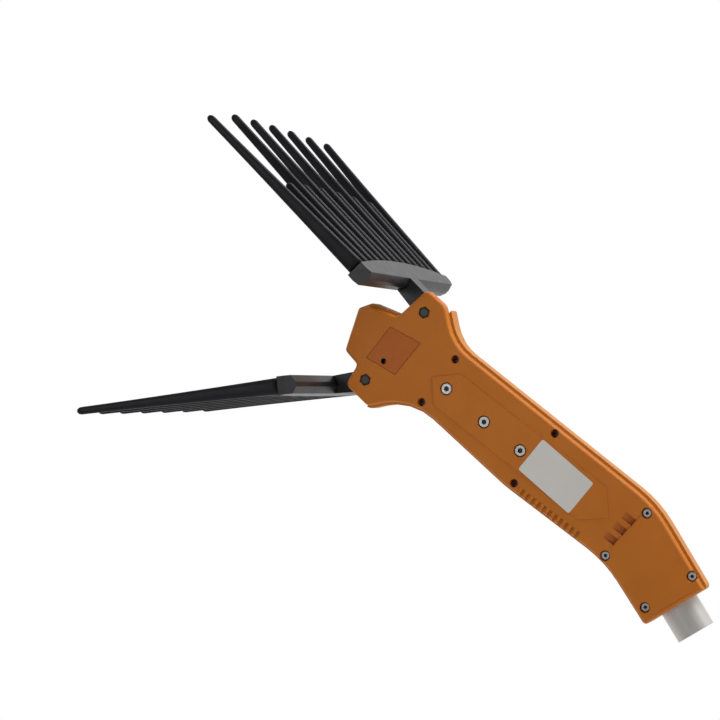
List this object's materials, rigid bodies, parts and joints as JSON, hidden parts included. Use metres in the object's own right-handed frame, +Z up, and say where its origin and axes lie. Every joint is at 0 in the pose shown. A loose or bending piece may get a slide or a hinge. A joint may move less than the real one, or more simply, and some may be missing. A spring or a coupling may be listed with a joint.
{
  "type": "electric olive harvester",
  "caption": "Pole-mounted electric olive harvester head: a leaning two-half housing with two fanned combs that clap towards each other.",
  "frame": {"origin": "centre of the open lower end of the pole", "axes": "+Z up the pole towards the combs, +Y along the comb pivots away from the face with the screws, +X to the right of that face"},
  "size_m": [0.4216, 0.302, 0.6553],
  "materials": {
    "orange_plastic": "moulded, fine satin texture",
    "pole_aluminium": "satin anodised",
    "zinc_steel": "zinc plated",
    "black_steel": "blackened",
    "cast_aluminium": "as cast",
    "machined_steel": "machined",
    "bronze": "sintered",
    "motor_paint": "dark enamel",
    "black_nylon": "glass-filled, satin"
  },
  "bodies": {
    "housing": {"near_shell": "orange_plastic", "far_shell": "orange_plastic", "access_cover": "orange_plastic", "pole_tube": "pole_aluminium", "clamp_screws": "zinc_steel", "shell_screws": "zinc_steel", "frame_screws": "zinc_steel", "pivot_bolts": "black_steel", "pivot_nuts": "black_steel", "pivot_bushes": "bronze", "near_frame_plate": "cast_aluminium", "far_frame_plate": "cast_aluminium", "yoke_guides": "bronze", "ball_bearings": "machined_steel", "motor_mount": "cast_aluminium", "motor_can": "motor_paint", "motor_cap": "motor_paint"},
    "upper_comb": {"upper_arm": "black_nylon", "upper_lever_pin": "machined_steel", "upper_comb_bar": "black_nylon", "upper_comb_screws": "zinc_steel", "upper_long_tine_1": "black_nylon", "upper_long_tine_2": "black_nylon", "upper_long_tine_3": "black_nylon", "upper_long_tine_4": "black_nylon", "upper_long_tine_5": "black_nylon", "upper_long_tine_6": "black_nylon", "upper_long_tine_7": "black_nylon", "upper_short_tine_1": "black_nylon", "upper_short_tine_2": "black_nylon", "upper_short_tine_3": "black_nylon", "upper_short_tine_4": "black_nylon", "upper_short_tine_5": "black_nylon", "upper_short_tine_6": "black_nylon"},
    "lower_comb": {"lower_arm": "black_nylon", "lower_lever_pin": "machined_steel", "lower_comb_bar": "black_nylon", "lower_comb_screws": "zinc_steel", "lower_long_tine_1": "black_nylon", "lower_long_tine_2": "black_nylon", "lower_long_tine_3": "black_nylon", "lower_long_tine_4": "black_nylon", "lower_long_tine_5": "black_nylon", "lower_long_tine_6": "black_nylon", "lower_long_tine_7": "black_nylon", "lower_short_tine_1": "black_nylon", "lower_short_tine_2": "black_nylon", "lower_short_tine_3": "black_nylon", "lower_short_tine_4": "black_nylon", "lower_short_tine_5": "black_nylon", "lower_short_tine_6": "black_nylon"},
    "yoke": {"yoke": "machined_steel"},
    "crank": {"crank": "machined_steel", "crown_gear": "machined_steel", "crank_bush": "bronze"},
    "rotor": {"armature": "machined_steel", "drive_pinion": "machined_steel"}
  },
  "joints": [
    {"name": "upper_comb_swing", "type": "hinge", "parent": "housing", "child": "upper_comb", "pos_m": [-0.06103, 0, 0.39815], "axis": [0, -1, 0], "range_deg": [0, 24]},
    {"name": "lower_comb_swing", "type": "hinge", "parent": "housing", "child": "lower_comb", "pos_m": [-0.14797, 0, 0.37485], "axis": [0, 1, 0], "range_deg": [0, 24]},
    {"name": "yoke_slide", "type": "slide", "parent": "housing", "child": "yoke", "axis": [0.2588, 0, -0.9659], "range_m": [0, 0.01248]},
    {"name": "crank_turn", "type": "hinge", "parent": "housing", "child": "crank", "pos_m": [-0.09505, 0, 0.35124], "axis": [0, 1, 0], "range_deg": [0, 120]},
    {"name": "motor_turn", "type": "hinge", "parent": "housing", "child": "rotor", "pos_m": [-0.09505, 0, 0.35124], "axis": [-0.3584, 0, 0.9336], "range_deg": [0, 400]}
  ],
  "couplings": [
    {"joint": "lower_comb_swing", "follows": "upper_comb_swing", "ratio": 1},
    {"joint": "yoke_slide", "follows": "upper_comb_swing", "m_per_rad": 0.029781},
    {"joint": "crank_turn", "follows": "upper_comb_swing", "ratio": 5},
    {"joint": "motor_turn", "follows": "upper_comb_swing", "ratio": 16.667}
  ]
}
